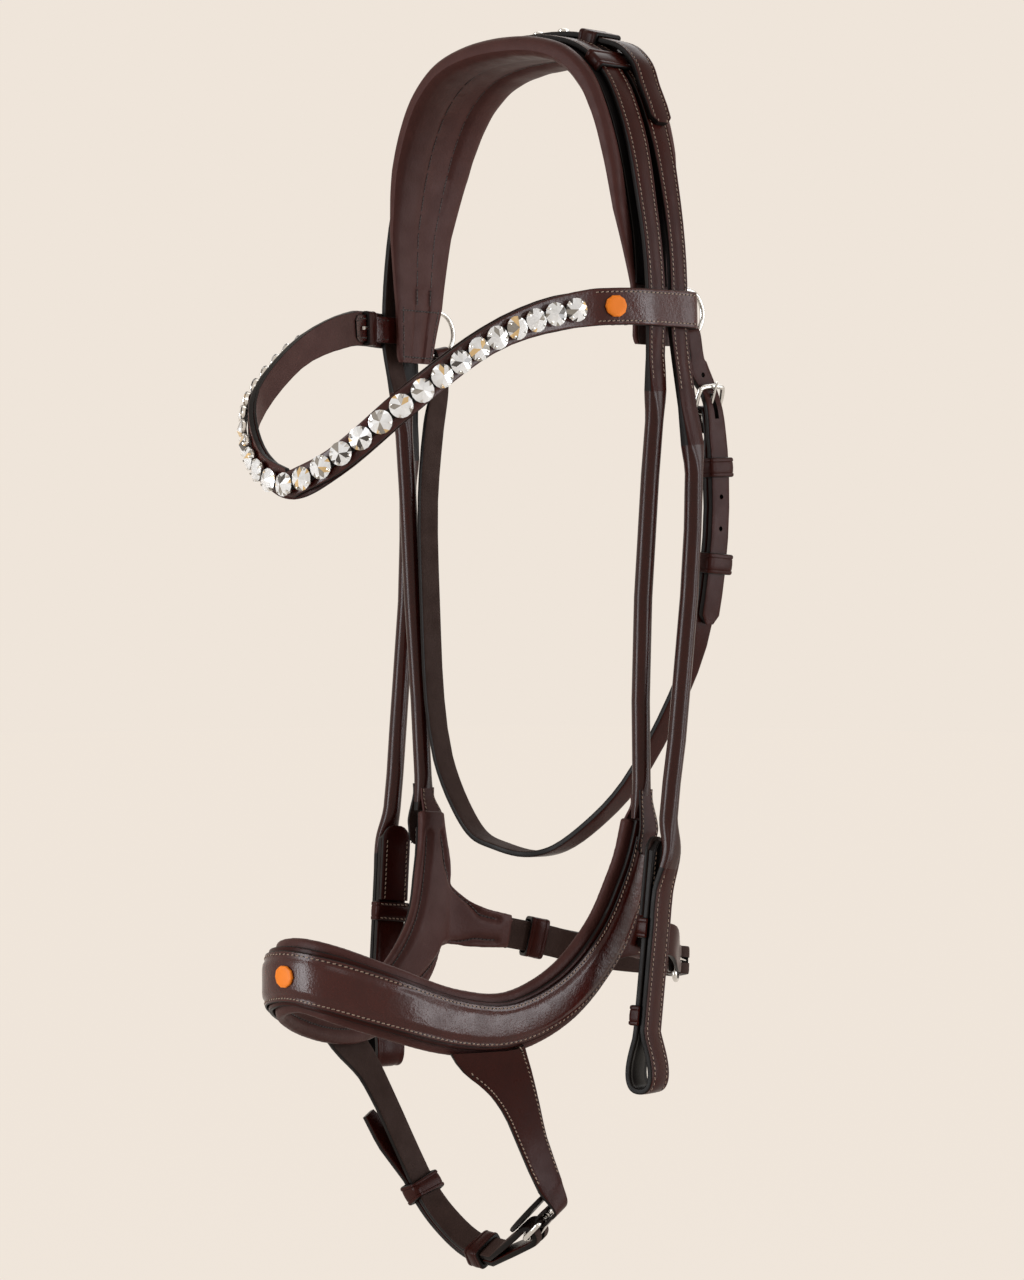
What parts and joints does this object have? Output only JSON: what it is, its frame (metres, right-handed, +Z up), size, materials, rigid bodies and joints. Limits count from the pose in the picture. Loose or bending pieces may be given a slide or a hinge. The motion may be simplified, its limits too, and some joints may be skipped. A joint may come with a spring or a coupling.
{
  "type": "pony bridle",
  "caption": "Pony bridle: padded headpiece, shaped noseband, crystal browband, rolled cheeks with bit loops, throatlash on rings and a thin chin strap.",
  "frame": {"origin": "poll seat: the middle of the poll pad's underside, where the bridle lies on the pony's poll", "axes": "+X to the pony's left, -Y towards its nose, +Z up"},
  "size_m": [0.1672, 0.2083, 0.4922],
  "materials": {
    "bridle_leather": "smooth dark brown bridle leather, semi-gloss",
    "rolled_leather": "rolled dark brown leather, semi-gloss",
    "lining_leather": "soft padded lining leather, matt",
    "suede": "black suede-like lining, matt",
    "orange_leather": "orange leather disc, satin",
    "steel": "polished stainless steel",
    "crystal": "clear cut stones in silver cups"
  },
  "bodies": {
    "bridle": {"browband_disc": "orange_leather", "browband_hook_left": "steel", "browband_hook_right": "steel", "browband_keeper_left": "bridle_leather", "browband_keeper_right": "bridle_leather", "browband_strap": "bridle_leather", "cheek_hook_left": "steel", "cheek_hook_right": "steel", "cheek_keeper_lower_left": "bridle_leather", "cheek_keeper_lower_right": "bridle_leather", "cheek_keeper_upper_left": "bridle_leather", "cheek_keeper_upper_right": "bridle_leather", "cheekpiece_left": "rolled_leather", "cheekpiece_right": "rolled_leather", "chin_branch": "bridle_leather", "chin_buckle": "steel", "chin_guard": "bridle_leather", "chin_keeper_fixed": "bridle_leather", "chin_strap": "bridle_leather", "crown_base": "suede", "crown_keeper_left": "bridle_leather", "crown_keeper_right": "bridle_leather", "crystal_row": "crystal", "jaw_billet": "bridle_leather", "jaw_buckle": "steel", "jaw_strap": "bridle_leather", "noseband_disc": "orange_leather", "noseband_facing": "bridle_leather", "noseband_headstrap": "bridle_leather", "noseband_leather": "bridle_leather", "noseband_pad": "lining_leather", "poll_pad": "lining_leather", "poll_stud_left": "steel", "poll_stud_right": "steel", "ring_tab_left": "bridle_leather", "ring_tab_right": "bridle_leather", "tail_keeper": "bridle_leather"},
    "throat_ring_left": {"throat_ring_left": "steel"},
    "throat_ring_right": {"throat_ring_right": "steel"},
    "throatlash": {"throatlash_strap": "bridle_leather", "throatlash_point_strap": "bridle_leather", "throatlash_buckle": "steel", "throatlash_keeper_upper": "bridle_leather"},
    "throatlash_prong": {"throatlash_prong": "steel"},
    "throatlash_keeper_lower": {"throatlash_keeper_lower": "bridle_leather"},
    "jaw_prong": {"jaw_prong": "steel"},
    "jaw_roller": {"jaw_roller": "steel"},
    "jaw_keeper": {"jaw_keeper": "bridle_leather"},
    "chin_prong": {"chin_prong": "steel"},
    "chin_roller": {"chin_roller": "steel"},
    "chin_keeper_slide": {"chin_keeper_slide": "bridle_leather"}
  },
  "joints": [
    {"name": "throat_ring_left_spin", "type": "hinge", "parent": "bridle", "child": "throat_ring_left", "pos_m": [0.07002, 0.01211, -0.10288], "axis": [1, 0, 0], "continuous": true},
    {"name": "throat_ring_right_spin", "type": "hinge", "parent": "bridle", "child": "throat_ring_right", "pos_m": [-0.07002, 0.01211, -0.10288], "axis": [-1, 0, 0], "continuous": true},
    {"name": "throatlash_swing", "type": "hinge", "parent": "bridle", "child": "throatlash", "pos_m": [0, 0.01211, -0.10288], "axis": [1, 0, 0], "range_deg": [-4, 30]},
    {"name": "throatlash_prong_turn", "type": "hinge", "parent": "throatlash", "child": "throatlash_prong", "pos_m": [0.07064, 0.02248, -0.14103], "axis": [0, 0.9975, 0.0708], "range_deg": [0, 60]},
    {"name": "jaw_prong_turn", "type": "hinge", "parent": "bridle", "child": "jaw_prong", "pos_m": [0.03744, 0.04071, -0.3576], "axis": [0.0661, -0.1101, -0.9917], "range_deg": [0, 60]},
    {"name": "jaw_roller_spin", "type": "hinge", "parent": "bridle", "child": "jaw_roller", "pos_m": [0.03114, 0.049, -0.35894], "axis": [-0.0661, 0.1101, 0.9917], "continuous": true},
    {"name": "chin_prong_turn", "type": "hinge", "parent": "bridle", "child": "chin_prong", "pos_m": [0.03618, -0.03152, -0.45412], "axis": [0.2277, -0.9133, -0.3376], "range_deg": [0, 30]},
    {"name": "chin_roller_spin", "type": "hinge", "parent": "bridle", "child": "chin_roller", "pos_m": [0.02815, -0.03102, -0.46087], "axis": [-0.2277, 0.9133, 0.3376], "continuous": true},
    {"name": "throatlash_keeper_slide", "type": "slide", "parent": "throatlash", "child": "throatlash_keeper_lower", "axis": [-0.1103, -0.0345, -0.9933], "range_m": [-0.003, 0.003]},
    {"name": "jaw_keeper_slide", "type": "slide", "parent": "bridle", "child": "jaw_keeper", "axis": [0.4556, 0.8574, -0.2395], "range_m": [-0.0015, 0.0015]},
    {"name": "chin_keeper_slide_along", "type": "slide", "parent": "bridle", "child": "chin_keeper_slide", "axis": [0.4303, 0.2755, -0.8596], "range_m": [-0.0015, 0.0015]}
  ]
}
